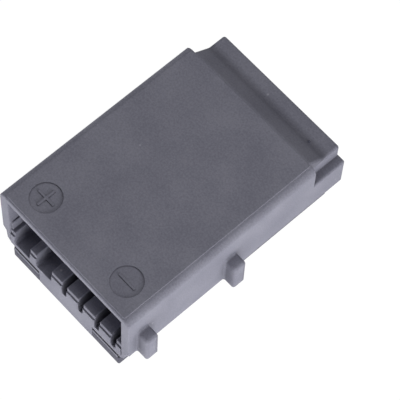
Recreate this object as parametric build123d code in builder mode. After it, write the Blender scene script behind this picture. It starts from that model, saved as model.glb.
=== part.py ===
from build123d import *

import os

# Flat cable plug with an open mouth: a moulded housing, a screwed base plate on a gasket,
# and two power and four signal contacts behind the mouth.
# +X is the side with the two lugs, +Y points to the cable end, +Z is up.
# The origin is the centre of the underside of the base plate's footprint.

# Housing, outside
housing_width = 39.2
housing_length = 60.0
rear_step = 8.85
overall_height = 26.1
top_side_radius = 1.75
mouth_outer_radius = 0.3
rear_corner_radius = 0.2
wall_foot_height = 10.4
foot_bevel = 1.1
skirt_draft = 0.25
underside_height = 5.0
underside_bevel = 1.2
rail_drop = 1.0

# Raised panel on the top
panel_rise = 0.25
panel_side_margin = 1.62
panel_front_margin = 0.4
panel_corner_radius = 0.5
panel_edge_radius = 0.15

# Step and cove at the cable end
ledge_height = 22.5
ledge_inset = 2.05
cove_foot_offset = 4.3
cove_foot_radius = 1.5
ledge_edge_radius = 0.7
ledge_corner_radius = 0.6
flange_height = 18.7
left_flange_height = 15.8
flange_edge_radius = 0.5
flange_corner_radius = 0.5
flange_foot_rise = 0.4
rear_block_overlap = 3.0

# Lugs on the +X side
lug_count = 2
lug_reach = 2.95
lug_length = 2.85
lug_top_height = 18.4
lug_front_offset = 2.45
lug_pitch = 23.8
lug_edge_radius = 0.6
lug_root_radius = 0.5

# Mouth
side_wall = 2.35
top_wall = 2.1
mouth_depth = 14.0
mouth_edge_radius = 0.4
shoulder_height = 14.3
shoulder_step = 0.35
shoulder_setback = 0.6
floor_thickness = 1.6
comb_height = 4.35
comb_step_height = 2.9
comb_step_setback = 0.35
comb_corner_radius = 0.25
comb_top_radius = 0.2
slot_root_radius = 0.65

# Contact positions, across X
signal_count = 4
signal_pitch = 5.08
last_signal_x = 14.8
signal_slot_width = 1.5
power_pitch = 6.75
power_centre_x = -10.25
power_slot_width = 4.8

# Bulkhead with the contact chambers
bulkhead_length = 16.0
entry_lip = 1.2
signal_chamber_width = 3.2
signal_chamber_height = 8.0
signal_entry_height = 6.5
power_chamber_height = 10.0
power_entry_width = 3.4
power_entry_height = 8.5

# Wiring chamber
chamber_half_width = 16.6
chamber_ceiling = 24.0
rear_ceiling = 20.2
rear_ceiling_length = 9.2
rear_wall = 2.6
opening_half_width = 14.8
opening_setback = 5.0
opening_rear_margin = 1.6

# Tab below the mouth and the slot behind it
tab_half_width = 8.35
tab_thickness = 1.9
tab_slot_half_width = 6.2
tab_slot_depth = 0.9
tab_slot_bottom = 1.2
tab_slot_height = 1.4

# Polarity marks
mark_radius = 3.5
mark_depth = 0.45
mark_bar_height = 0.35
mark_bar_length = 4.6
mark_bar_width = 0.5
mark_offset_x = 12.25
mark_offset_y = 6.17

# Base plate, gasket and screws
plate_half_width = 16.7
plate_thickness = 3.1
plate_rear_margin = 0.9
plate_edge_radius = 0.2
plate_foot_radius = 0.15
plate_corner_radius = 0.4
plate_floor = 1.6
plate_rim = 2.0
plate_clearance = 0.15
gasket_inset = 0.2
gasket_width = 1.2
boss_radius = 2.6
boss_x = 12.4
boss_rear_offset = 6.5
boss_contact_gap = 0.6
screw_radius = 1.4
screw_hole_radius = 1.6
screw_head_radius = 2.3
screw_head_height = 1.5
screw_seat_height = 2.0
screw_length = 12.0
screw_clearance = 0.05
pilot_depth = 12.0

# Contacts
signal_sheet = 0.4
signal_base_gap = 0.1
signal_base_height = 6.2
signal_leaf_height = 5.0
signal_throat = 0.6
signal_barrel_radius = 1.2
power_sheet = 0.8
power_base_gap = 0.1
power_base_height = 8.8
power_leaf_height = 7.2
power_throat = 1.6
power_barrel_radius = 1.95
contact_base_length = 6.0
contact_tip_setback = 0.4
contact_flare_length = 1.6
contact_throat_length = 3.6
barrel_length = 7.0
barrel_neck = 0.6
spring_sheet = 0.3
spring_gap = 0.05
spring_end_gap = 0.3

# Rear lock
lock_thickness = 2.3
lock_height = 10.5
lock_side_gap = 0.15
lock_notch_gap = 0.15
lock_rib_length = 1.2
lock_rib_reach = 0.9
lock_rib_rise = 4.0

# Cable inlet, grommet and clamp
cable_radius = 3.75
grommet_neck_radius = 5.0
grommet_flange_radius = 6.2
grommet_flange_length = 1.8
grommet_lip = 0.5
grommet_gap = 0.05
grommet_floor_gap = 0.2
clamp_rear_offset = 6.0
clamp_length = 5.0
clamp_half_width = 9.2
clamp_thickness = 2.6
clamp_pad_rise = 2.6
clamp_post_x = 7.0
clamp_post_radius = 2.2
clamp_post_height = 10.2
clamp_screw_radius = 1.1
clamp_head_radius = 1.9
clamp_head_height = 1.3
clamp_screw_length = 7.0
clamp_edge_radius = 0.5

# Worked-out places
front = -housing_length / 2
rear = housing_length / 2
half_width = housing_width / 2
top_rear = rear - rear_step
shell_top = overall_height - panel_rise
mouth_half_width = half_width - side_wall
mouth_ceiling = overall_height - top_wall
slot_floor = underside_height + floor_thickness
comb_top = slot_floor + comb_height
bulkhead_front = front + mouth_depth
bulkhead_rear = bulkhead_front + bulkhead_length
chamber_rear = rear - rear_wall
skirt_half_width = half_width - foot_bevel - skirt_draft
power_centres = [power_centre_x - power_pitch / 2, power_centre_x + power_pitch / 2]
signal_centres = [last_signal_x - signal_pitch * n for n in reversed(range(signal_count))]
boss_rear_y = rear - boss_rear_offset
boss_front_y = bulkhead_rear + lock_thickness + barrel_length + boss_contact_gap + boss_radius
boss_places = [(x, y) for y in (boss_front_y, boss_rear_y) for x in (-boss_x, boss_x)]
cable_height = slot_floor + grommet_floor_gap + grommet_flange_radius
clamp_rear = rear - clamp_rear_offset
clamp_centre_y = clamp_rear - clamp_length / 2
clamp_places = [(side * clamp_post_x, clamp_centre_y) for side in (-1, 1)]
block_edges = [-mouth_half_width]
for centre in power_centres:
    block_edges += [centre - power_slot_width / 2, centre + power_slot_width / 2]
for centre in signal_centres:
    block_edges += [centre - signal_slot_width / 2, centre + signal_slot_width / 2]
block_edges.append(mouth_half_width)
slot_sides = block_edges[1:-1]
lug_foot = wall_foot_height - rail_drop
lug_centres = [front + lug_front_offset + lug_length / 2 + n * lug_pitch for n in range(lug_count)]


os.makedirs("parts", exist_ok=True)


def across(y):
    """The X-Z plane at a station y; a negative extrusion from it runs towards the cable end."""
    return Plane.XZ.offset(-y)


def along(x):
    """The Y-Z plane at a station x."""
    return Plane.YZ.offset(x)


def level(z):
    """The X-Y plane at a height z."""
    return Plane.XY.offset(z)


def mirrored(points):
    """A closed outline from the points of its +X half, listed from the top down."""
    return points + [(-x, z) for x, z in reversed(points)]


def foot_profile(foot):
    """The +X half of the outline from the foot of the side wall down to the underside."""
    return [
        (half_width, foot),
        (half_width - foot_bevel, foot - foot_bevel),
        (skirt_half_width, underside_height + underside_bevel),
        (skirt_half_width - underside_bevel, underside_height),
    ]


def rounded_edges(builder, keep, radius):
    """Rounds the edges of a builder whose centre passes a test."""
    fillet(builder.edges().filter_by(keep), radius=radius)


def at_lug_root(edge):
    """Whether an edge lies where a lug meets the side wall, above its foot."""
    place = edge.center()
    beside_lug = any(abs(place.Y - y) < lug_length / 2 + 0.01 for y in lug_centres)
    return beside_lug and abs(place.X - half_width) < 0.01 and lug_foot + 0.1 < place.Z < lug_top_height + 0.01


def at_lug_face(edge):
    """Whether an outer edge of a lug is neither on its rear face nor at its foot."""
    place = edge.center()
    on_rear_face = any(abs(place.Y - y - lug_length / 2) < 0.01 for y in lug_centres)
    return place.X > half_width + lug_reach / 3 and place.Z > lug_foot + 0.1 and not on_rear_face


def at_slot_side(edge):
    """Whether an edge lies on the side of one of the slots."""
    return any(abs(edge.center().X - x) < 0.01 for x in slot_sides)


# Panel raised a little above the shell's top
with BuildPart() as top_panel:
    panel_front = front + panel_front_margin
    panel_rear = top_rear - rear_corner_radius
    with BuildSketch(level(shell_top - panel_rise)) as panel_outline:
        with Locations((0, (panel_front + panel_rear) / 2)):
            Rectangle(2 * (half_width - panel_side_margin), panel_rear - panel_front)
        fillet(panel_outline.vertices().group_by(Axis.Y)[0], radius=panel_corner_radius)
    extrude(amount=2 * panel_rise)
    fillet(top_panel.faces().sort_by(Axis.Z)[-1].edges(), radius=panel_edge_radius)

# Block with the cove and the ledge, narrower than the body
with BuildPart() as ledge_block:
    with BuildSketch(along(-(half_width - ledge_inset))) as ledge_profile:
        with BuildLine() as ledge_outline:
            Polyline(
                (top_rear, shell_top - rear_corner_radius),
                (top_rear - rear_block_overlap, overall_height - top_wall),
                (top_rear - rear_block_overlap, flange_height - flange_edge_radius),
                (rear, flange_height - flange_edge_radius),
                (rear, ledge_height),
                (rear - cove_foot_offset, ledge_height),
                close=True,
            )
        make_face()
        fillet(
            ledge_profile.vertices().filter_by(
                lambda v: abs(v.X - rear + cove_foot_offset) < 0.01 and abs(v.Y - ledge_height) < 0.01
            ),
            radius=cove_foot_radius,
        )
    extrude(amount=2 * (half_width - ledge_inset))
    rounded_edges(
        ledge_block,
        lambda e: e.center().Z < ledge_height - 1 and e.center().Y > rear - 0.1 and abs(e.center().X) > 0.1,
        ledge_corner_radius,
    )
    rounded_edges(
        ledge_block,
        lambda e: e.center().Z > ledge_height - 0.1 and e.center().Y > top_rear,
        ledge_edge_radius,
    )

# Flange below the ledge, as wide as the body and lower on the -X side
with BuildPart() as rear_flange:
    with BuildSketch(across(top_rear - rear_block_overlap)) as flange_section:
        with BuildLine():
            Polyline(
                (-(half_width - ledge_inset), flange_height),
                (half_width, flange_height),
                *foot_profile(wall_foot_height),
                *[(-x, z) for x, z in reversed(foot_profile(wall_foot_height))],
                (-half_width, left_flange_height),
                (-(half_width - ledge_inset), left_flange_height),
                close=True,
            )
        make_face()
    extrude(amount=-(rear - top_rear + rear_block_overlap))
    with BuildSketch(along(-half_width)) as flange_foot:
        with BuildLine():
            Polyline(
                (rear, wall_foot_height + flange_foot_rise),
                (rear - foot_bevel, wall_foot_height + flange_foot_rise - foot_bevel),
                (rear - foot_bevel, underside_height),
                (rear + foot_bevel, underside_height),
                (rear + foot_bevel, wall_foot_height + flange_foot_rise),
                close=True,
            )
        make_face()
    extrude(amount=housing_width, mode=Mode.SUBTRACT)
    rounded_edges(
        rear_flange,
        lambda e: abs(e.center().X) > half_width - 0.1 and e.center().Y > rear - 0.1
        and wall_foot_height + 1 < e.center().Z < flange_height - 1,
        flange_corner_radius,
    )
    for side, height in ((-1, left_flange_height), (1, flange_height)):
        rounded_edges(
            rear_flange,
            lambda e: e.center().X * side > half_width - ledge_inset + 0.1 and e.center().Z > height - 0.1
            and e.center().Y > top_rear - rear_block_overlap + 0.1,
            flange_edge_radius,
        )

# Comb of blocks along the floor of the mouth, stepped back at the front
with BuildPart() as comb:
    with BuildSketch(level(underside_height)) as comb_base:
        with Locations((0, front + mouth_depth / 2)):
            Rectangle(2 * mouth_half_width, mouth_depth)
    extrude(amount=floor_thickness)
    for left, right in zip(block_edges[::2], block_edges[1::2]):
        with BuildSketch(along(left)) as block_profile:
            with BuildLine():
                Polyline(
                    (front, slot_floor),
                    (front, slot_floor + comb_step_height),
                    (front + comb_step_setback, slot_floor + comb_step_height),
                    (front + comb_step_setback, comb_top),
                    (bulkhead_front, comb_top),
                    (bulkhead_front, slot_floor),
                    close=True,
                )
            make_face()
        extrude(amount=right - left)
    rounded_edges(comb, lambda e: at_slot_side(e) and abs(e.center().Z - slot_floor) < 0.01, slot_root_radius)
    fillet(
        comb.edges().filter_by(
            lambda e: e.center().Y < front + 0.01 and underside_height + 0.1 < e.center().Z
            and e.center().Z < slot_floor + comb_step_height - 0.1 and abs(e.center().X) < mouth_half_width - 0.01
        ),
        radius=comb_corner_radius,
    )
    fillet(
        comb.edges().filter_by(
            lambda e: (
                e.center().Z > comb_top - 0.01 and e.center().Y < bulkhead_front - 0.01
                or e.center().Z > slot_floor + comb_step_height + 0.1 and abs(e.center().Y - front - comb_step_setback) < 0.01
            ) and abs(e.center().X) < mouth_half_width - 0.01
        ),
        radius=comb_top_radius,
    )

with BuildPart() as housing:
    # Body with rounded upper sides
    with BuildSketch(across(front)) as body_section:
        with BuildLine():
            Polyline(*mirrored([(half_width, shell_top)] + foot_profile(wall_foot_height)), close=True)
        make_face()
        fillet(body_section.vertices().group_by(Axis.Y)[-1], radius=top_side_radius)
    extrude(amount=-(top_rear - front))
    fillet(
        housing.faces().sort_by(Axis.Y)[0].edges().filter_by(lambda e: e.center().Z > wall_foot_height + 0.1),
        radius=mouth_outer_radius,
    )
    fillet(
        housing.faces().sort_by(Axis.Y)[-1].edges().filter_by(
            lambda e: e.center().Z > wall_foot_height + 0.1
        ),
        radius=rear_corner_radius,
    )

    # Panel and cable end
    add(top_panel.part)
    add(ledge_block.part)
    add(rear_flange.part)

    # Rails that lower the feet of the side walls as far as the rear lug
    with BuildSketch(across(front + mouth_outer_radius)) as rail_section:
        with BuildLine():
            Polyline(
                (half_width, wall_foot_height + rail_drop),
                *foot_profile(wall_foot_height - rail_drop)[:2],
                (skirt_half_width, wall_foot_height - rail_drop - foot_bevel),
                (skirt_half_width, wall_foot_height + rail_drop),
                close=True,
            )
        make_face()
        mirror(about=Plane.YZ)
    lugs_rear = lug_front_offset + lug_pitch * (lug_count - 1) + lug_length
    extrude(amount=-(lugs_rear + lug_root_radius))

    # Lugs
    with BuildSketch(along(half_width)) as lug_section:
        with Locations(*[(y, (lug_foot + lug_top_height) / 2) for y in lug_centres]):
            Rectangle(lug_length, lug_top_height - lug_foot)
    extrude(amount=lug_reach)
    rounded_edges(housing, at_lug_root, lug_root_radius)
    rounded_edges(housing, at_lug_face, lug_edge_radius)

    # Tab in front of the base plate
    with BuildSketch(across(front)) as tab_section:
        with Locations((0, slot_floor / 2)):
            Rectangle(2 * tab_half_width, slot_floor)
    extrude(amount=-tab_thickness)
    with BuildSketch(level(tab_slot_bottom)) as tab_slot:
        with Locations((0, front + tab_thickness - tab_slot_depth / 2)):
            Rectangle(2 * tab_slot_half_width, tab_slot_depth)
    extrude(amount=tab_slot_height, mode=Mode.SUBTRACT)

    # Mouth with its rounded rim and the shoulders on its side walls
    with BuildSketch(across(front)) as mouth_section:
        with Locations((0, (slot_floor + mouth_ceiling) / 2)):
            Rectangle(2 * mouth_half_width, mouth_ceiling - slot_floor)
    extrude(amount=-mouth_depth, mode=Mode.SUBTRACT)
    fillet(
        housing.faces().sort_by(Axis.Y)[0].inner_wires().edges().filter_by(
            lambda e: e.center().Z > slot_floor + 0.1
        ),
        radius=mouth_edge_radius,
    )
    for left in (-mouth_half_width, mouth_half_width - shoulder_step):
        with BuildSketch(along(left)) as shoulder_profile:
            with BuildLine():
                Polyline(
                    (front + shoulder_setback, slot_floor),
                    (front + shoulder_setback, shoulder_height - shoulder_step),
                    (front + shoulder_setback + shoulder_step, shoulder_height),
                    (bulkhead_front, shoulder_height),
                    (bulkhead_front, slot_floor),
                    close=True,
                )
            make_face()
        extrude(amount=shoulder_step)

    add(comb.part)

    # Chambers for the contacts, with a narrower entry at the front of each
    chamber_front = bulkhead_front + entry_lip
    for centre in power_centres:
        with BuildSketch(across(bulkhead_front)) as power_entry:
            with Locations((centre, slot_floor + power_entry_height / 2)):
                Rectangle(power_entry_width, power_entry_height)
        extrude(amount=-entry_lip, mode=Mode.SUBTRACT)
        with BuildSketch(across(chamber_front)) as power_chamber:
            with Locations((centre, slot_floor + power_chamber_height / 2)):
                Rectangle(power_slot_width, power_chamber_height)
        extrude(amount=-(bulkhead_rear - chamber_front), mode=Mode.SUBTRACT)
    for centre in signal_centres:
        with BuildSketch(across(bulkhead_front)) as signal_entry:
            with Locations((centre, slot_floor + signal_entry_height / 2)):
                Rectangle(signal_slot_width, signal_entry_height)
        extrude(amount=-entry_lip, mode=Mode.SUBTRACT)
        with BuildSketch(across(chamber_front)) as signal_chamber:
            with Locations((centre, slot_floor + signal_chamber_height / 2)):
                Rectangle(signal_chamber_width, signal_chamber_height)
        extrude(amount=-(bulkhead_rear - chamber_front), mode=Mode.SUBTRACT)

    # Wiring chamber with a lower ceiling under the cove, open at the underside
    ceiling_step = chamber_rear - rear_ceiling_length
    with BuildSketch(along(-chamber_half_width)) as chamber_profile:
        with BuildLine():
            Polyline(
                (bulkhead_rear, slot_floor),
                (bulkhead_rear, chamber_ceiling),
                (ceiling_step, chamber_ceiling),
                (ceiling_step, rear_ceiling),
                (chamber_rear, rear_ceiling),
                (chamber_rear, slot_floor),
                close=True,
            )
        make_face()
    extrude(amount=2 * chamber_half_width, mode=Mode.SUBTRACT)
    opening_front = bulkhead_rear + opening_setback
    opening_rear = chamber_rear - opening_rear_margin
    with BuildSketch(level(underside_height)) as underside_opening:
        with Locations((0, (opening_front + opening_rear) / 2)):
            Rectangle(2 * opening_half_width, opening_rear - opening_front)
    extrude(amount=floor_thickness, mode=Mode.SUBTRACT)

    # Ribs that hold the rear lock from behind
    lock_rear = bulkhead_rear + lock_thickness
    with BuildSketch(level(slot_floor + lock_rib_rise)) as lock_ribs:
        with Locations(*[
            (side * (chamber_half_width - lock_rib_reach / 2), lock_rear + lock_rib_length / 2)
            for side in (-1, 1)
        ]):
            Rectangle(lock_rib_reach, lock_rib_length)
    extrude(amount=lock_height - lock_rib_rise)

    # Bosses for the base screws and posts for the clamp screws
    for boss_y, ceiling in ((boss_front_y, chamber_ceiling), (boss_rear_y, rear_ceiling)):
        with BuildSketch(level(underside_height)) as base_bosses:
            with Locations((-boss_x, boss_y), (boss_x, boss_y)):
                Circle(boss_radius)
        extrude(amount=ceiling - underside_height)
    with BuildSketch(level(underside_height)) as base_pilots:
        with Locations(*boss_places):
            Circle(screw_radius + screw_clearance)
    extrude(amount=pilot_depth, mode=Mode.SUBTRACT)
    with BuildSketch(level(clamp_post_height)) as clamp_posts:
        with Locations(*clamp_places):
            Circle(clamp_post_radius)
    extrude(amount=rear_ceiling - clamp_post_height)
    with BuildSketch(level(clamp_post_height)) as clamp_pilots:
        with Locations(*clamp_places):
            Circle(clamp_screw_radius + screw_clearance)
    extrude(amount=clamp_screw_length, mode=Mode.SUBTRACT)

    # Hole for the grommet
    with BuildSketch(across(chamber_rear)) as inlet:
        with Locations((0, cable_height)):
            Circle(grommet_neck_radius + grommet_gap)
    extrude(amount=-rear_wall, mode=Mode.SUBTRACT)

    # Polarity marks: raised bars in shallow round recesses
    mark_y = front + mark_offset_y
    mark_floor = overall_height - mark_depth
    with BuildSketch(level(mark_floor)) as mark_recesses:
        with Locations((-mark_offset_x, mark_y), (mark_offset_x, mark_y)):
            Circle(mark_radius)
    extrude(amount=mark_depth, mode=Mode.SUBTRACT)
    with BuildSketch(level(mark_floor)) as mark_bars:
        with Locations((-mark_offset_x, mark_y)):
            Rectangle(mark_bar_length, mark_bar_width)
            Rectangle(mark_bar_width, mark_bar_length)
        with Locations((mark_offset_x, mark_y)):
            Rectangle(mark_bar_length, mark_bar_width)
    extrude(amount=mark_bar_height)

housing.part.label = "housing"
export_step(housing.part, "parts/housing.step")

# Base plate: a flat tray with screw pads and a tongue behind the tab
plate_rear = rear - plate_rear_margin
notch_rear = front + tab_thickness + plate_clearance


def plate_outline(inset):
    """The plate's outline, notched behind the tab, drawn in by an inset."""
    return [
        (-plate_half_width + inset, plate_rear - inset),
        (-plate_half_width + inset, front + inset),
        (-tab_half_width - plate_clearance - inset, front + inset),
        (-tab_half_width - plate_clearance - inset, notch_rear + inset),
        (tab_half_width + plate_clearance + inset, notch_rear + inset),
        (tab_half_width + plate_clearance + inset, front + inset),
        (plate_half_width - inset, front + inset),
        (plate_half_width - inset, plate_rear - inset),
    ]


with BuildPart() as base_plate:
    with BuildSketch() as plate_sketch:
        Polygon(*plate_outline(0), align=None)
    extrude(amount=plate_thickness)
    fillet(
        base_plate.edges().filter_by(Axis.Z).filter_by(lambda e: abs(e.center().X) > plate_half_width - 0.1),
        radius=plate_corner_radius,
    )
    fillet(base_plate.faces().sort_by(Axis.Z)[0].edges(), radius=plate_foot_radius)
    fillet(
        base_plate.faces().sort_by(Axis.Z)[-1].edges().filter_by(lambda e: e.center().Y < front + 0.1),
        radius=plate_edge_radius,
    )
    with BuildSketch(level(plate_floor)) as tray_sketch:
        Polygon(*plate_outline(plate_rim), align=None)
    extrude(amount=plate_thickness - plate_floor, mode=Mode.SUBTRACT)
    with BuildSketch(level(plate_floor)) as pad_sketch:
        with Locations(*boss_places):
            Circle(boss_radius)
    extrude(amount=underside_height - plate_floor)
    with BuildSketch() as plate_holes:
        with Locations(*boss_places):
            Circle(screw_hole_radius)
    extrude(amount=underside_height, mode=Mode.SUBTRACT)
    with BuildSketch() as plate_counterbores:
        with Locations(*boss_places):
            Circle(screw_head_radius + screw_clearance)
    extrude(amount=screw_seat_height, mode=Mode.SUBTRACT)
    tongue_clearance = (tab_slot_half_width * 2 - 2 * plate_clearance, tab_slot_height - plate_clearance)
    with BuildSketch(level(tab_slot_bottom)) as tongue_sketch:
        tongue_reach = tab_slot_depth - plate_clearance
        with Locations((0, notch_rear - (tongue_reach + plate_clearance) / 2)):
            Rectangle(tongue_clearance[0], tongue_reach + plate_clearance)
    extrude(amount=tongue_clearance[1])

base_plate.part.label = "base_plate"
export_step(base_plate.part, "parts/base_plate.step")

# Gasket between the base plate and the housing
with BuildPart() as base_gasket:
    with BuildSketch(level(plate_thickness)) as gasket_sketch:
        Polygon(*plate_outline(gasket_inset), align=None)
    extrude(amount=underside_height - plate_thickness)
    with BuildSketch(level(plate_thickness)) as gasket_hole:
        Polygon(*plate_outline(gasket_inset + gasket_width), align=None)
    extrude(amount=underside_height - plate_thickness, mode=Mode.SUBTRACT)

base_gasket.part.label = "base_gasket"
export_step(base_gasket.part, "parts/base_gasket.step")

# Lock plate behind the bulkhead, notched over the contacts' barrels
with BuildPart() as rear_lock:
    with BuildSketch(across(bulkhead_rear)) as lock_sketch:
        with Locations((0, slot_floor + lock_height / 2)):
            Rectangle(2 * (chamber_half_width - lock_side_gap), lock_height)
        for centres, radius in ((power_centres, power_barrel_radius), (signal_centres, signal_barrel_radius)):
            notch_half_width = radius + lock_notch_gap
            for centre in centres:
                with Locations((centre, slot_floor + notch_half_width / 2)):
                    Rectangle(2 * notch_half_width, notch_half_width, mode=Mode.SUBTRACT)
                with Locations((centre, slot_floor + notch_half_width)):
                    Circle(notch_half_width, mode=Mode.SUBTRACT)
    extrude(amount=-lock_thickness)

rear_lock.part.label = "rear_lock"
export_step(rear_lock.part, "parts/rear_lock.step")


def fork_contact(name, centre, sheet, base_width, base_height, leaf_height, throat, barrel_radius):
    """A folded fork: two leaves that close to a throat, a box base and an open crimp barrel."""
    tip = chamber_front + contact_tip_setback
    throat_front = tip + contact_flare_length
    throat_rear = throat_front + contact_throat_length
    base_front = bulkhead_rear - contact_base_length
    base_line = base_width / 2 - sheet / 2
    throat_line = throat / 2 + sheet / 2
    flare_line = throat_line + contact_flare_length / 2
    leaf_bottom = slot_floor + (base_height - leaf_height) / 2
    barrel_height = slot_floor + barrel_radius
    with BuildPart() as contact:
        with BuildSketch(level(leaf_bottom)):
            for side in (-1, 1):
                with BuildLine():
                    Polyline(
                        (centre + side * min(flare_line, base_line), tip),
                        (centre + side * throat_line, throat_front),
                        (centre + side * throat_line, throat_rear),
                        (centre + side * base_line, base_front),
                        (centre + side * base_line, base_front + contact_base_length / 2),
                    )
                trace(line_width=sheet)
        extrude(amount=leaf_height)
        with BuildSketch(across(base_front)):
            with Locations((centre, slot_floor + base_height / 2)):
                Rectangle(base_width, base_height)
                Rectangle(base_width - 2 * sheet, base_height - 2 * sheet, mode=Mode.SUBTRACT)
        extrude(amount=-contact_base_length)
        with BuildSketch(across(bulkhead_rear)):
            with Locations((centre, barrel_height)):
                Circle(barrel_radius)
                Circle(barrel_radius - sheet, mode=Mode.SUBTRACT)
            with Locations((centre, barrel_height + barrel_radius)):
                Rectangle(barrel_radius, 2 * barrel_radius, mode=Mode.SUBTRACT)
        extrude(amount=-(lock_thickness + barrel_length))
    contact.part.label = name
    export_step(contact.part, f"parts/{name}.step")


def back_up_spring(name, centre):
    """A steel clip over the straight throat of a power contact."""
    inner = power_throat / 2 + power_sheet + spring_gap
    leaf_top = slot_floor + (power_base_height + power_leaf_height) / 2
    leaf_bottom = leaf_top - power_leaf_height
    spring_front = chamber_front + contact_tip_setback + contact_flare_length + spring_end_gap
    with BuildPart() as spring:
        with BuildSketch(across(spring_front)):
            with Locations((centre, (leaf_bottom + leaf_top + spring_sheet) / 2)):
                Rectangle(2 * (inner + spring_sheet), leaf_top - leaf_bottom + spring_sheet)
            with Locations((centre, (leaf_bottom + leaf_top) / 2)):
                Rectangle(2 * inner, leaf_top - leaf_bottom, mode=Mode.SUBTRACT)
        extrude(amount=-(contact_throat_length - 2 * spring_end_gap))
    spring.part.label = name
    export_step(spring.part, f"parts/{name}.step")


for sign, centre in zip(("positive", "negative"), power_centres):
    fork_contact(
        f"power_contact_{sign}", centre, power_sheet, power_slot_width - 2 * power_base_gap,
        power_base_height, power_leaf_height, power_throat, power_barrel_radius,
    )
    back_up_spring(f"power_spring_{sign}", centre)
for n, centre in enumerate(signal_centres, start=1):
    fork_contact(
        f"signal_contact_{n}", centre, signal_sheet, signal_chamber_width - 2 * signal_base_gap,
        signal_base_height, signal_leaf_height, signal_throat, signal_barrel_radius,
    )

# Rubber grommet in the rear wall, flanged on the inside
with BuildPart() as cable_grommet:
    with BuildSketch(Plane.YZ) as grommet_section:
        with BuildLine():
            Polyline(
                (chamber_rear - grommet_flange_length, cable_height + cable_radius),
                (chamber_rear - grommet_flange_length, cable_height + grommet_flange_radius),
                (chamber_rear, cable_height + grommet_flange_radius),
                (chamber_rear, cable_height + grommet_neck_radius),
                (rear + grommet_lip, cable_height + grommet_neck_radius),
                (rear + grommet_lip, cable_height + cable_radius),
                close=True,
            )
        make_face()
    revolve(axis=Axis((0, 0, cable_height), (0, 1, 0)))

cable_grommet.part.label = "cable_grommet"
export_step(cable_grommet.part, "parts/cable_grommet.step")

# Clamp bar with a saddle under the cable
with BuildPart() as cable_clamp:
    clamp_bottom = clamp_post_height - clamp_thickness
    with BuildSketch(across(clamp_rear - clamp_length)) as clamp_section:
        with Locations((0, clamp_bottom + clamp_thickness / 2)):
            Rectangle(2 * clamp_half_width, clamp_thickness)
        with Locations((0, clamp_post_height + clamp_pad_rise / 2)):
            Rectangle(2 * (clamp_post_x - clamp_post_radius - plate_clearance), clamp_pad_rise)
        with Locations((0, cable_height)):
            Circle(cable_radius, mode=Mode.SUBTRACT)
    extrude(amount=-clamp_length)
    with BuildSketch(level(clamp_bottom)) as clamp_holes:
        with Locations(*clamp_places):
            Circle(clamp_screw_radius + screw_clearance)
    extrude(amount=clamp_thickness, mode=Mode.SUBTRACT)
    fillet(
        cable_clamp.edges().filter_by(Axis.Z).filter_by(lambda e: abs(e.center().X) > clamp_post_x),
        radius=clamp_edge_radius,
    )


cable_clamp.part.label = "cable_clamp"
export_step(cable_clamp.part, "parts/cable_clamp.step")


def screws(name, places, seat, radius, head_radius, head_height, length):
    """Pan-head screws driven upwards, one at each place, with a round recess in each head."""
    with BuildPart() as group:
        with BuildSketch(level(seat - head_height)):
            with Locations(*places):
                Circle(head_radius)
        extrude(amount=head_height)
        with BuildSketch(level(seat)):
            with Locations(*places):
                Circle(radius)
        extrude(amount=length)
        with BuildSketch(level(seat - head_height)):
            with Locations(*places):
                RegularPolygon(radius=head_radius / 2, side_count=6)
        extrude(amount=head_height / 2, mode=Mode.SUBTRACT)
    group.part.label = name
    export_step(group.part, f"parts/{name}.step")


screws(
    "base_screws", boss_places, screw_seat_height, screw_radius, screw_head_radius, screw_head_height, screw_length
)
screws(
    "clamp_screws", clamp_places, clamp_bottom, clamp_screw_radius, clamp_head_radius, clamp_head_height,
    clamp_screw_length,
)
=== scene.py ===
"""Looks of a flat cable plug with an open mouth: finishes, small pieces, light and camera."""

from __future__ import annotations

import logging
import math
from dataclasses import dataclass, field
from enum import Enum

import bpy
import numpy as np
from mathutils import Matrix, Vector

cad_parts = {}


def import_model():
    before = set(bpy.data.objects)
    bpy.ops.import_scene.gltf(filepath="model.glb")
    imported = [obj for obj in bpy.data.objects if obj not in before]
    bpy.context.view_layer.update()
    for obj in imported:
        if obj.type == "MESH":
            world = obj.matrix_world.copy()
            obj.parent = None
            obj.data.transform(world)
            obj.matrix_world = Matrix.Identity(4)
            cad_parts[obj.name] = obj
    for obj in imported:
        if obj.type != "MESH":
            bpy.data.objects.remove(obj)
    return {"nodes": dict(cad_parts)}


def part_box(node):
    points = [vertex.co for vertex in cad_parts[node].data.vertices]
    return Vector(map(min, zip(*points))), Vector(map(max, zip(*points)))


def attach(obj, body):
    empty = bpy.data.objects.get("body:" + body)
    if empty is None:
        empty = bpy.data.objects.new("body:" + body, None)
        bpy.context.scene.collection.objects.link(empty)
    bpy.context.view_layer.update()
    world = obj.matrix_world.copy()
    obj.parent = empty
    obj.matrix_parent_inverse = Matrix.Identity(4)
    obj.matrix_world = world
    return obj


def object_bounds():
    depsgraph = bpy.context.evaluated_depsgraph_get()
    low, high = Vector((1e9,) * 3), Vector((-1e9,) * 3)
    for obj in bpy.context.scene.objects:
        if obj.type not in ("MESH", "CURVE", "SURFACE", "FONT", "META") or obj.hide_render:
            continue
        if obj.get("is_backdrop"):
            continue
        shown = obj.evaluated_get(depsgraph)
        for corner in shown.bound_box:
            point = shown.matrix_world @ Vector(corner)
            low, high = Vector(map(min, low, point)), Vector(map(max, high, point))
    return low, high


LOG = logging.getLogger("plug")
MM = 0.001
RAY_SAMPLES = 8  # Rays per shading point, for rounded edges and for corner shade


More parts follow.
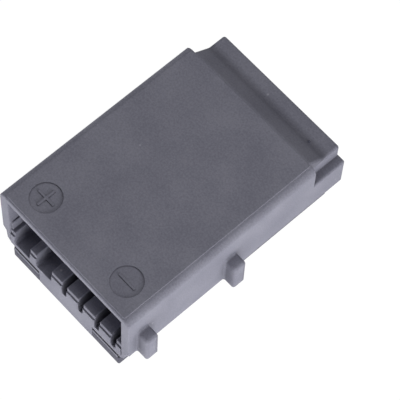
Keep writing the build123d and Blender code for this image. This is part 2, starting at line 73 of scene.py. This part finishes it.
def linear(hex_colour: str) -> tuple[float, float, float, float]:
    """Turns an sRGB hex colour to linear red, green, blue and an alpha of 1.

    Args:
        hex_colour: Six hex digits after a hash sign.

    Returns:
        The four values that a shader socket takes.
    """
    srgb = np.array([int(hex_colour[i : i + 2], 16) for i in (1, 3, 5)]) / 255
    values = np.where(srgb <= 0.04045, srgb / 12.92, ((srgb + 0.055) / 1.055) ** 2.4)
    return (*values.tolist(), 1.0)


def add_node(
    tree: bpy.types.NodeTree,
    kind: str,
    settings: dict[str | int, object],
    links: dict[str | int, bpy.types.NodeSocket],
) -> bpy.types.Node:
    """Adds a node with its settings and links.

    Args:
        tree: The node tree to add to.
        kind: The node's type name.
        settings: Properties by name, or input values by socket name or number.
        links: Output sockets by the name or number of the input that each feeds.

    Returns:
        The new node.
    """
    node = tree.nodes.new(kind)
    for name, value in settings.items():
        if isinstance(name, int) or name in node.inputs:
            node.inputs[name].default_value = value
        else:
            setattr(node, name, value)
    for name, source in links.items():
        tree.links.new(source, node.inputs[name])
    return node


def ramp(node: bpy.types.Node, stops: list[tuple[float, str]]) -> None:
    """Sets a colour ramp's stops, each a position and a hex colour."""
    elements = node.color_ramp.elements
    while len(elements) > len(stops):
        elements.remove(elements[-1])
    while len(elements) < len(stops):
        elements.new(1.0)
    for element, (position, colour) in zip(elements, stops):
        element.position = position
        element.color = linear(colour)


class Grain(Enum):
    """How a surface was made, which sets the direction of its finest marks."""

    MOULDED = (1.0, 1.0, 1.0)
    STAMPED = (1.0, 0.08, 1.0)
    TURNED = (1.0, 1.0, 0.15)


@dataclass(frozen=True)
class Finish:
    """A surface: two close tones in soft clouds, and fine marks in colour, gloss and relief.

    The marks are noise on object coordinates, stretched along the direction that the grain gives.
    Edges are rounded in shading by edge_mm, and by up to lug_edge_mm on the lugs, which start at
    lug_from_mm along X. Corners that the surface closes in within corner_mm get painted shade: they
    lose up to corner_shade of their tone. Flecks are spots of fleck_mm around the points of a cell
    pattern.
    """

    name: str
    light_tone: str
    dark_tone: str
    roughness: float
    roughness_spread: float
    mark_mm: float
    relief_mm: float
    relief_strength: float
    cloud_mm: float = 9.0
    metallic: float = 0.0
    ior: float = 1.5
    grain: Grain = Grain.MOULDED
    sheen_level: float = 0.5
    edge_mm: float = 0.0
    corner_mm: float = 0.5
    corner_shade: float = 0.0
    lug_edge_mm: float = 0.0
    lug_from_mm: float = 19.6
    fleck_mm: float = 0.0
    fleck_pitch_mm: float = 3.0
    fleck_tone: str = "#ffffff"
    cove_painted_shade: tuple[tuple[float, float], ...] = ()
    cove_floor_mm: float = 22.3
    cove_floor_blend_mm: float = 0.1
    mark_share: float = 0.6
    tone_span: tuple[float, float] = (0.36, 0.64)
    gloss_span: tuple[float, float] = (0.3, 0.7)
    corner_span: tuple[float, float] = (0.3, 0.8)

    def painted_cove_shade(self, tree: bpy.types.NodeTree, place: bpy.types.Node) -> bpy.types.NodeSocket:
        """Adds nodes for painted shade: a darker band in the cove.

        The share of the tone that is left follows the given stops along Y, each a place in
        millimetres and a share, and applies above cove_floor_mm only. The shares were set to the
        photograph's tones.

        Args:
            tree: The material's nodes.
            place: The node that gives object coordinates.

        Returns:
            The share of the tone that is left.
        """
        parts = add_node(tree, "ShaderNodeSeparateXYZ", {}, {"Vector": place.outputs["Object"]})
        start, end = self.cove_painted_shade[0][0], self.cove_painted_shade[-1][0]
        along = add_node(
            tree,
            "ShaderNodeMapRange",
            {"From Min": start * MM, "From Max": end * MM},
            {"Value": parts.outputs["Y"]},
        )
        share = add_node(tree, "ShaderNodeValToRGB", {}, {"Fac": along.outputs["Result"]})
        ramp(share, [((y - start) / (end - start), "#ffffff") for y, _ in self.cove_painted_shade])
        for element, (_, left) in zip(share.color_ramp.elements, self.cove_painted_shade):
            element.color = (left, left, left, 1.0)
        above = add_node(
            tree,
            "ShaderNodeMapRange",
            {
                "From Min": self.cove_floor_mm * MM,
                "From Max": (self.cove_floor_mm + self.cove_floor_blend_mm) * MM,
            },
            {"Value": parts.outputs["Z"]},
        )
        mix = add_node(
            tree,
            "ShaderNodeMix",
            {"data_type": "FLOAT", 2: 1.0},
            {0: above.outputs["Result"], 3: share.outputs["Color"]},
        )
        return mix.outputs[0]

    def flecks(
        self, tree: bpy.types.NodeTree, place: bpy.types.Node, ground: bpy.types.NodeSocket
    ) -> bpy.types.NodeSocket:
        """Adds nodes for pale spots, which fade from each cell's point outwards.

        Args:
            tree: The material's nodes.
            place: The node that gives object coordinates.
            ground: The tone to lay the spots on.

        Returns:
            The tone with its spots.
        """
        pitch = self.fleck_pitch_mm
        cells = add_node(
            tree,
            "ShaderNodeTexVoronoi",
            {"Scale": 1 / (pitch * MM)},
            {"Vector": place.outputs["Object"]},
        )
        fleck = add_node(
            tree,
            "ShaderNodeMapRange",
            {"From Min": self.fleck_mm / pitch, "From Max": 0.0, "To Min": 0.0, "To Max": 1.0},
            {"Value": cells.outputs["Distance"]},
        )
        specked = add_node(
            tree,
            "ShaderNodeMix",
            {"data_type": "RGBA", 7: linear(self.fleck_tone)},
            {0: fleck.outputs["Result"], 6: ground},
        )
        return specked.outputs[2]

    def rounded(self, tree: bpy.types.NodeTree, place: bpy.types.Node) -> bpy.types.NodeSocket:
        """Adds nodes for edges that are rounded in shading, more so on the lugs.

        Args:
            tree: The material's nodes.
            place: The node that gives object coordinates.

        Returns:
            The normal.
        """
        rounding = add_node(
            tree, "ShaderNodeBevel", {"samples": RAY_SAMPLES, "Radius": self.edge_mm * MM}, {}
        )
        if self.lug_edge_mm:
            points = place.outputs["Object"]
            across = add_node(tree, "ShaderNodeSeparateXYZ", {}, {"Vector": points})
            radius = add_node(
                tree,
                "ShaderNodeMapRange",
                {
                    "From Min": self.lug_from_mm * MM,
                    "From Max": (self.lug_from_mm + self.lug_edge_mm) * MM,
                    "To Min": self.edge_mm * MM,
                    "To Max": self.lug_edge_mm * MM,
                },
                {"Value": across.outputs["X"]},
            )
            tree.links.new(radius.outputs["Result"], rounding.inputs["Radius"])
        return rounding.outputs["Normal"]

    def shade(self, tree: bpy.types.NodeTree) -> bpy.types.NodeSocket:
        """Adds nodes for painted shade: the share of the tone that is left in corners."""
        openness = add_node(
            tree,
            "ShaderNodeAmbientOcclusion",
            {"samples": RAY_SAMPLES, "only_local": True, "Distance": self.corner_mm * MM},
            {},
        )
        closed, clear = self.corner_span
        left = add_node(
            tree,
            "ShaderNodeMapRange",
            {"From Min": closed, "From Max": clear, "To Min": 1 - self.corner_shade, "To Max": 1.0},
            {"Value": openness.outputs["AO"]},
        )
        return left.outputs["Result"]

    def make(self) -> bpy.types.Material:
        """Makes the material.

        Returns:
            The material, ready for a piece's slot.
        """
        material = bpy.data.materials.new(self.name)
        material.use_nodes = True
        tree = material.node_tree
        tree.nodes.clear()
        place = add_node(tree, "ShaderNodeTexCoord", {}, {})
        stretch = add_node(
            tree,
            "ShaderNodeMapping",
            {"Scale": self.grain.value},
            {"Vector": place.outputs["Object"]},
        )
        marks = add_node(
            tree,
            "ShaderNodeTexNoise",
            {"Scale": 1 / (self.mark_mm * MM), "Detail": 3.0, "Roughness": 0.6},
            {"Vector": stretch.outputs["Vector"]},
        )
        clouds = add_node(
            tree,
            "ShaderNodeTexNoise",
            {"Scale": 1 / (self.cloud_mm * MM), "Detail": 2.0, "Roughness": 0.5},
            {"Vector": place.outputs["Object"]},
        )
        weak = add_node(
            tree,
            "ShaderNodeMath",
            {"operation": "MULTIPLY", 1: 1 - self.mark_share},
            {0: clouds.outputs["Fac"]},
        )
        both = add_node(
            tree,
            "ShaderNodeMath",
            {"operation": "MULTIPLY_ADD", 1: self.mark_share},
            {0: marks.outputs["Fac"], 2: weak.outputs["Value"]},
        )
        tones = add_node(tree, "ShaderNodeValToRGB", {}, {"Fac": both.outputs["Value"]})
        ramp(tones, list(zip(self.tone_span, (self.dark_tone, self.light_tone))))
        smooth, rough = self.gloss_span
        gloss = add_node(
            tree,
            "ShaderNodeMapRange",
            {
                "From Min": smooth,
                "From Max": rough,
                "To Min": self.roughness - self.roughness_spread,
                "To Max": self.roughness + self.roughness_spread,
            },
            {"Value": marks.outputs["Fac"]},
        )
        relief = add_node(
            tree,
            "ShaderNodeBump",
            {"Strength": self.relief_strength, "Distance": self.relief_mm * MM},
            {"Height": marks.outputs["Fac"], "Normal": self.rounded(tree, place)},
        )
        ground = tones.outputs["Color"]
        if self.fleck_mm:
            ground = self.flecks(tree, place, ground)
        # Painted shade in corners that the surface closes in.
        left = self.shade(tree)
        # Painted shade in the cove, multiplied into the painted shade of the corners.
        if self.cove_painted_shade:
            product = add_node(
                tree,
                "ShaderNodeMath",
                {"operation": "MULTIPLY"},
                {0: left, 1: self.painted_cove_shade(tree, place)},
            )
            left = product.outputs["Value"]
        colour = add_node(
            tree, "ShaderNodeVectorMath", {"operation": "SCALE"}, {0: ground, "Scale": left}
        )
        shader = add_node(
            tree,
            "ShaderNodeBsdfPrincipled",
            {"Metallic": self.metallic, "IOR": self.ior, "Specular IOR Level": self.sheen_level},
            {
                "Base Color": colour.outputs["Vector"],
                "Roughness": gloss.outputs["Result"],
                "Normal": relief.outputs["Normal"],
            },
        )
        add_node(tree, "ShaderNodeOutputMaterial", {}, {"Surface": shader.outputs["BSDF"]})
        return material


# Glass-filled nylon from a spark-eroded mould: an even, fine matt grain with a soft cool tone, pale
# flecks where a glass fibre lies near the skin, and painted shade in the corners and in the cove.
# The real grain is about 0.1 mm, drawn at 0.4 mm so that it shows.
SHELL_NYLON = Finish(
    "glass_filled_nylon_spark_grain",
    light_tone="#898995",
    dark_tone="#767683",
    roughness=0.62,
    roughness_spread=0.06,
    mark_mm=0.4,
    relief_mm=0.03,
    relief_strength=0.6,
    ior=1.45,
    sheen_level=0.1,
    edge_mm=0.25,
    # Painted shade in corners, within corner_mm, of up to corner_shade of the tone.
    corner_mm=4.0,
    corner_shade=0.5,
    lug_edge_mm=1.6,
    fleck_mm=0.35,
    fleck_pitch_mm=6.0,
    fleck_tone="#b4b4be",
    # Painted shade: the share of the tone left in the cove, by place along Y in millimetres.
    cove_painted_shade=((21.1, 1.0), (21.9, 0.8), (24.4, 0.78), (25.4, 0.62), (26.1, 0.66), (27.4, 1.0)),
)
# The same nylon, coloured darker, from a smoother mould: a flatter tone with a faint shine.
# Its grain is drawn as coarse as the housing's.
BASE_NYLON = Finish(
    "dark_nylon_fine_grain",
    light_tone="#555562",
    dark_tone="#4c4c59",
    roughness=0.55,
    roughness_spread=0.05,
    mark_mm=0.4,
    relief_mm=0.02,
    relief_strength=0.4,
    ior=1.45,
    sheen_level=0.15,
    edge_mm=0.2,
)
# Pressed nitrile rubber: black, dull and without edges that catch light.
SEAL_RUBBER = Finish("nitrile_rubber_pressed", "#1a1a1c", "#131315", 0.75, 0.06, 0.5, 0.02, 0.4)
# Black polybutylene terephthalate, moulded: dark with a soft satin shine.
LOCK_PLASTIC = Finish("black_polyester_moulded", "#26262a", "#202024", 0.42, 0.05, 0.4, 0.015, 0.3)
# Stamped and formed brass sheet: warm, with fine rolling lines along the contact.
CONTACT_BRASS = Finish(
    "brass_sheet_stamped",
    light_tone="#cfae6a",
    dark_tone="#bb9550",
    roughness=0.3,
    roughness_spread=0.06,
    mark_mm=0.25,
    relief_mm=0.006,
    relief_strength=0.4,
    cloud_mm=4.0,
    metallic=1.0,
    grain=Grain.STAMPED,
)
# Cold-rolled spring steel: grey, clean and slightly bluish.
SPRING_STEEL = Finish(
    "spring_steel_rolled",
    light_tone="#a4a7ac",
    dark_tone="#94979d",
    roughness=0.28,
    roughness_spread=0.05,
    mark_mm=0.25,
    relief_mm=0.005,
    relief_strength=0.4,
    cloud_mm=4.0,
    metallic=1.0,
    grain=Grain.STAMPED,
)
# Zinc-plated screw steel: pale grey with turning lines under the plating.
SCREW_STEEL = Finish(
    "zinc_plated_steel",
    light_tone="#b4b6ba",
    dark_tone="#a3a5aa",
    roughness=0.34,
    roughness_spread=0.06,
    mark_mm=0.3,
    relief_mm=0.006,
    relief_strength=0.4,
    cloud_mm=3.0,
    metallic=1.0,
    grain=Grain.TURNED,
)


@dataclass
class Dressing:
    """The CAD nodes of one sub-assembly and the finish that each wears."""

    label: str
    finishes: dict[str, Finish] = field(default_factory=dict)

    def dress(
        self, nodes: dict[str, bpy.types.Object], made: dict[str, bpy.types.Material]
    ) -> None:
        """Puts each node's finish into its material slots.

        Args:
            nodes: The loaded nodes by name.
            made: Materials made so far by finish name, added to here.
        """
        for name, finish in self.finishes.items():
            piece = nodes[name]
            if finish.name not in made:
                made[finish.name] = finish.make()
            material = made[finish.name]
            for slot in piece.material_slots:
                slot.material = material
            LOG.info("%s: %s in %s", self.label, name, finish.name)


def closed_surface(name: str, rings: np.ndarray) -> bpy.types.Object:
    """Makes a closed mesh from rings of points, joined ring to ring and capped at both ends.

    Quad (i, j) joins points j and j + 1 of rings i and i + 1. The caps are the first ring,
    reversed, and the last ring.

    Args:
        name: The object's name.
        rings: Points in millimetres, as rings by points by three.

    Returns:
        The object, linked to the scene.
    """
    count, size = rings.shape[:2]
    i, j = np.meshgrid(np.arange(count - 1), np.arange(size), indexing="ij")
    k = (j + 1) % size
    near, far = i * size, (i + 1) * size
    quads = np.stack([near + j, near + k, far + k, far + j], axis=-1).reshape(-1, 4)
    caps = [list(range(size))[::-1], list(range((count - 1) * size, count * size))]
    mesh = bpy.data.meshes.new(name)
    mesh.from_pydata((rings.reshape(-1, 3) * MM).tolist(), [], quads.tolist() + caps)
    mesh.update()
    obj = bpy.data.objects.new(name, mesh)
    bpy.context.scene.collection.objects.link(obj)
    return obj


@dataclass
class PlateLip:
    """Thin light lips in front of the gasket, one on each side of the tab.

    The section is a bar with a rounded front top edge: a quarter circle of corner_mm joins its face
    and its top. It is carried along X between the tab's notch and the plate's rounded corner. Its
    foot goes root_mm below the plate's top, so that it covers the plate's rounded edge.
    """

    height_mm: float = 0.65
    thickness_mm: float = 0.19
    corner_mm: float = 0.12
    root_mm: float = 0.4
    plate_top_mm: float = 3.1
    notch_half_width_mm: float = 8.5
    end_gap_mm: float = 0.45
    corner_points: int = 6
    station_count: int = 9

    def section(self, front: float) -> np.ndarray:
        """Works out the section's points.

        Args:
            front: The plate's front face in millimetres.

        Returns:
            Points as rows of Y and Z.
        """
        t = np.linspace(0, math.pi / 2, self.corner_points)
        top = self.plate_top_mm + self.height_mm
        arc_y = front + self.corner_mm * (1 - np.cos(t))
        arc_z = top - self.corner_mm * (1 - np.sin(t))
        foot = self.plate_top_mm - self.root_mm
        back = front + self.thickness_mm
        return np.stack([np.r_[front, arc_y, back, back], np.r_[foot, arc_z, top, foot]], axis=1)

    def build(self) -> list[bpy.types.Object]:
        """Makes both lips.

        Returns:
            The left and the right lip, on the plate as the CAD has it.
        """
        low, high = (np.array(corner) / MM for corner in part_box("base_plate"))
        section = self.section(low[1])
        made = []
        for side, sign in (("left", -1), ("right", 1)):
            ends = np.sort(sign * np.array([self.notch_half_width_mm, high[0] - self.end_gap_mm]))
            stations = np.linspace(*ends, self.station_count)
            rings = np.empty((len(stations), len(section), 3))
            rings[:, :, 0] = stations[:, None]
            rings[:, :, 1:] = section[::-1]
            lip = closed_surface(f"plate_lip_{side}", rings)
            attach(lip, "root")
            made.append(lip)
        return made


@dataclass
class GatePip:
    """The small, rounded pip that the mould's gate left at the foot of the cove, drawn dark as
    painted shade.

    Its surface is a half ellipsoid: radius times the cosine and height times the sine of one angle.
    The angle stops just short of 90 degrees, where a small flat cap closes it.
    """

    centre_mm: tuple[float, float, float] = (12.6, 25.85, 22.55)
    radius_mm: float = 0.32
    height_mm: float = 0.3
    sunk_mm: float = 0.1
    points_around: int = 20
    points_up: int = 7
    cap_angle: float = 86.4

    def build(self) -> bpy.types.Object:
        """Makes the pip.

        Returns:
            The pip, sunk a little into the ledge.
        """
        u = np.linspace(0, 2 * math.pi, self.points_around, endpoint=False)
        v = np.radians(np.linspace(0, self.cap_angle, self.points_up))
        radius = np.r_[self.radius_mm, self.radius_mm * np.cos(v)]
        height = np.r_[-self.sunk_mm, self.height_mm * np.sin(v)]
        rings = np.stack(
            [
                radius[:, None] * np.cos(u),
                radius[:, None] * np.sin(u),
                np.broadcast_to(height[:, None], (len(height), len(u))),
            ],
            axis=-1,
        )
        pip = closed_surface("gate_pip", rings + np.array(self.centre_mm))
        pip.data.shade_smooth()
        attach(pip, "root")
        return pip


@dataclass(frozen=True)
class Lamp:
    """A rectangular area lamp aimed at the plug's middle, unseen by the camera.

    Azimuth is in degrees from the front towards the right, elevation in degrees above the floor,
    and the distance and sides are in metres.
    """

    name: str
    azimuth: float
    elevation: float
    distance: float
    width: float
    height: float
    power: float

    def build(self, aim: Vector) -> bpy.types.Object:
        """Makes the lamp.

        Args:
            aim: The point that the lamp faces.

        Returns:
            The lamp.
        """
        data = bpy.data.lights.new(self.name, "AREA")
        data.shape = "RECTANGLE"
        data.size, data.size_y = self.width, self.height
        data.energy = self.power
        a, e = math.radians(self.azimuth), math.radians(self.elevation)
        way = Vector((math.sin(a) * math.cos(e), -math.cos(a) * math.cos(e), math.sin(e)))
        obj = bpy.data.objects.new(self.name, data)
        obj.location = aim + way * self.distance
        obj.rotation_mode = "QUATERNION"
        obj.rotation_quaternion = way.to_track_quat("Z", "Y")
        obj.visible_camera = False
        bpy.context.scene.collection.objects.link(obj)
        return obj


@dataclass
class Studio:
    """A pale floor, low lamps for the upright faces, high ones for the top and a dim surround.

    The floor is white where it is seen. As light, it glows on the side of floor_light_azimuth and
    fades to floor_light_far on the other side, over floor_light_reach metres each way.
    """

    floor_size: float = 3.0
    floor_depth_mm: float = 0.05
    surround_strength: float = 0.02
    background: str = "#ffffff"
    floor_tone: str = "#f4f4f4"
    floor_glow: float = 1.06
    floor_light: float = 1.3
    floor_light_far: float = 0.1
    floor_light_azimuth: float = 45.0
    floor_light_reach: float = 0.04
    floor_glow_share: float = 0.93
    lamps: tuple[Lamp, ...] = (
        Lamp("front_left_low", -35, 3, 0.7, 0.5, 0.07, 1.8),
        Lamp("front_right_low", 70, 3, 0.7, 0.4, 0.07, 1.4),
        Lamp("right_soft", 90, 25, 0.7, 0.3, 0.3, 1.6),
        Lamp("right_high", 90, 70, 0.8, 0.3, 0.3, 1.25),
        Lamp("left_high", 270, 70, 0.8, 0.3, 0.3, 1.2),
        Lamp("front_high", 0, 80, 1.0, 0.15, 0.15, 0.3),
    )

    def background_rays(self, tree: bpy.types.NodeTree) -> bpy.types.NodeSocket:
        """Adds nodes that give 1 for a ray that shows the background, also mirrored or bent."""
        rays = add_node(tree, "ShaderNodeLightPath", {}, {})
        clear = add_node(
            tree,
            "ShaderNodeMath",
            {"operation": "MAXIMUM"},
            {0: rays.outputs["Is Camera Ray"], 1: rays.outputs["Is Transmission Ray"]},
        )
        seen = add_node(
            tree,
            "ShaderNodeMath",
            {"operation": "MAXIMUM"},
            {0: clear.outputs["Value"], 1: rays.outputs["Is Glossy Ray"]},
        )
        return seen.outputs["Value"]

    def floor(self) -> bpy.types.Object:
        """Makes the floor, a flat grid of two by two points below the plug.

        Returns:
            The floor, marked as stage.
        """
        u = np.array([-0.5, 0.5]) * self.floor_size
        x, y = np.meshgrid(u, u)
        points = np.stack([x.ravel(), y.ravel(), np.full(4, -self.floor_depth_mm * MM)], axis=1)
        mesh = bpy.data.meshes.new("floor")
        mesh.from_pydata(points.tolist(), [], [(0, 1, 3, 2)])
        obj = bpy.data.objects.new("floor", mesh)
        bpy.context.scene.collection.objects.link(obj)
        material = bpy.data.materials.new("pale_floor")
        material.use_nodes = True
        tree = material.node_tree
        tree.nodes.clear()
        share = add_node(
            tree,
            "ShaderNodeMath",
            {"operation": "MULTIPLY", 1: self.floor_glow_share},
            {0: self.background_rays(tree)},
        )
        matt = add_node(tree, "ShaderNodeBsdfDiffuse", {"Color": linear(self.floor_tone)}, {})
        glow = add_node(
            tree,
            "ShaderNodeEmission",
            {"Color": linear(self.background), "Strength": self.floor_glow},
            {},
        )
        a = math.radians(self.floor_light_azimuth)
        place = add_node(tree, "ShaderNodeTexCoord", {}, {})
        along = add_node(
            tree,
            "ShaderNodeVectorMath",
            {"operation": "DOT_PRODUCT", 1: (math.sin(a), -math.cos(a), 0.0)},
            {0: place.outputs["Object"]},
        )
        reach = self.floor_light_reach
        side = add_node(
            tree,
            "ShaderNodeMapRange",
            {
                "interpolation_type": "SMOOTHSTEP",
                "From Min": -reach,
                "From Max": reach,
                "To Min": self.floor_light_far,
                "To Max": self.floor_light,
            },
            {"Value": along.outputs["Value"]},
        )
        light = add_node(
            tree,
            "ShaderNodeEmission",
            {"Color": linear(self.background)},
            {"Strength": side.outputs["Result"]},
        )
        lit = add_node(
            tree, "ShaderNodeAddShader", {}, {0: matt.outputs["BSDF"], 1: light.outputs["Emission"]}
        )
        seen = add_node(
            tree,
            "ShaderNodeMixShader",
            {},
            {0: share.outputs["Value"], 1: matt.outputs["BSDF"], 2: glow.outputs["Emission"]},
        )
        mix = add_node(
            tree,
            "ShaderNodeMixShader",
            {},
            {0: self.background_rays(tree), 1: lit.outputs["Shader"], 2: seen.outputs["Shader"]},
        )
        add_node(tree, "ShaderNodeOutputMaterial", {}, {"Surface": mix.outputs["Shader"]})
        mesh.materials.append(material)
        obj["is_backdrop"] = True
        return obj

    def surround(self) -> None:
        """Makes the world: white where it is seen or mirrored, and dimmer as light."""
        world = bpy.data.worlds.new("surround")
        world.use_nodes = True
        tree = world.node_tree
        tree.nodes.clear()
        strength = add_node(
            tree,
            "ShaderNodeMapRange",
            {"To Min": self.surround_strength, "To Max": 1.0},
            {"Value": self.background_rays(tree)},
        )
        light = add_node(
            tree,
            "ShaderNodeBackground",
            {"Color": linear(self.background)},
            {"Strength": strength.outputs["Result"]},
        )
        add_node(tree, "ShaderNodeOutputWorld", {}, {"Surface": light.outputs["Background"]})
        bpy.context.scene.world = world

    def build(self, aim: Vector) -> None:
        """Builds the floor, the world and the lamps, which face the aim."""
        self.floor()
        self.surround()
        for lamp in self.lamps:
            lamp.build(aim)


@dataclass
class Viewpoint:
    """The photograph's camera, in degrees, millimetres and pixels of its 400-pixel frame."""

    azimuth: float = 44.201
    elevation: float = 64.606
    roll: float = 3.861
    focal_px: float = 2273.6
    distance_mm: float = 471.76
    aim_mm: tuple[float, float, float] = (0.0, 0.0, 13.5)
    aim_px: tuple[float, float] = (173.796, 194.635)
    frame_px: float = 400.0
    sensor_mm: float = 36.0
    clip_near: float = 0.01
    clip_far: float = 20.0

    def build(self) -> bpy.types.Object:
        """Makes the camera and makes it the scene's own.

        Returns:
            The camera.
        """
        a, e, r = (math.radians(v) for v in (self.azimuth, self.elevation, self.roll))
        forward = Vector((-math.sin(a) * math.cos(e), math.cos(a) * math.cos(e), -math.sin(e)))
        level_right = Vector((math.cos(a), math.sin(a), 0))
        level_up = level_right.cross(forward)
        right = level_right * math.cos(r) + level_up * math.sin(r)
        up = level_up * math.cos(r) - level_right * math.sin(r)
        aside = (self.aim_px[0] - self.frame_px / 2) / self.focal_px * self.distance_mm
        above = -(self.aim_px[1] - self.frame_px / 2) / self.focal_px * self.distance_mm
        place = Vector(self.aim_mm) - forward * self.distance_mm - right * aside - up * above
        data = bpy.data.cameras.new("camera")
        data.sensor_width = self.sensor_mm
        data.lens = self.focal_px / self.frame_px * self.sensor_mm
        data.clip_start, data.clip_end = self.clip_near, self.clip_far
        camera = bpy.data.objects.new("camera", data)
        turn = Matrix((right, up, -forward)).transposed()
        camera.matrix_world = Matrix.Translation(place * MM) @ turn.to_4x4()
        bpy.context.scene.collection.objects.link(camera)
        bpy.context.scene.camera = camera
        return camera


def dressings() -> list[Dressing]:
    """Lists the plug's sub-assemblies with their finishes."""
    signs = ("positive", "negative")
    return [
        Dressing("shell", {"housing": SHELL_NYLON}),
        Dressing(
            "base",
            {"base_plate": BASE_NYLON, "base_gasket": SEAL_RUBBER, "base_screws": SCREW_STEEL},
        ),
        Dressing("lock", {"rear_lock": LOCK_PLASTIC}),
        Dressing("cable inlet", {"cable_grommet": SEAL_RUBBER}),
        Dressing("cable clamp", {"cable_clamp": LOCK_PLASTIC, "clamp_screws": SCREW_STEEL}),
        Dressing(
            "contacts",
            {f"power_contact_{sign}": CONTACT_BRASS for sign in signs}
            | {f"power_spring_{sign}": SPRING_STEEL for sign in signs}
            | {f"signal_contact_{n}": CONTACT_BRASS for n in range(1, 5)},
        ),
    ]


def main() -> None:
    """Loads the solids, dresses them, and adds the small pieces, the studio and the camera."""
    logging.basicConfig(level=logging.INFO, format="%(name)s: %(message)s")
    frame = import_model()
    solids_box = [list(corner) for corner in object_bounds()]
    made: dict[str, bpy.types.Material] = {}
    for group in dressings():
        group.dress(frame["nodes"], made)
    added = [(lip, SHELL_NYLON) for lip in PlateLip().build()]
    # The pip wears the base's darker nylon as painted shade, so that it shows dark on the ledge.
    added.append((GatePip().build(), BASE_NYLON))
    for piece, finish in added:
        piece.data.materials.append(made[finish.name])
        LOG.info("added %s in %s", piece.name, finish.name)
    middle = (Vector(solids_box[0]) + Vector(solids_box[1])) / 2
    Studio().build(middle)
    Viewpoint().build()
    bpy.context.scene.view_settings.view_transform = "Standard"


if __name__ == "__main__":
    main()
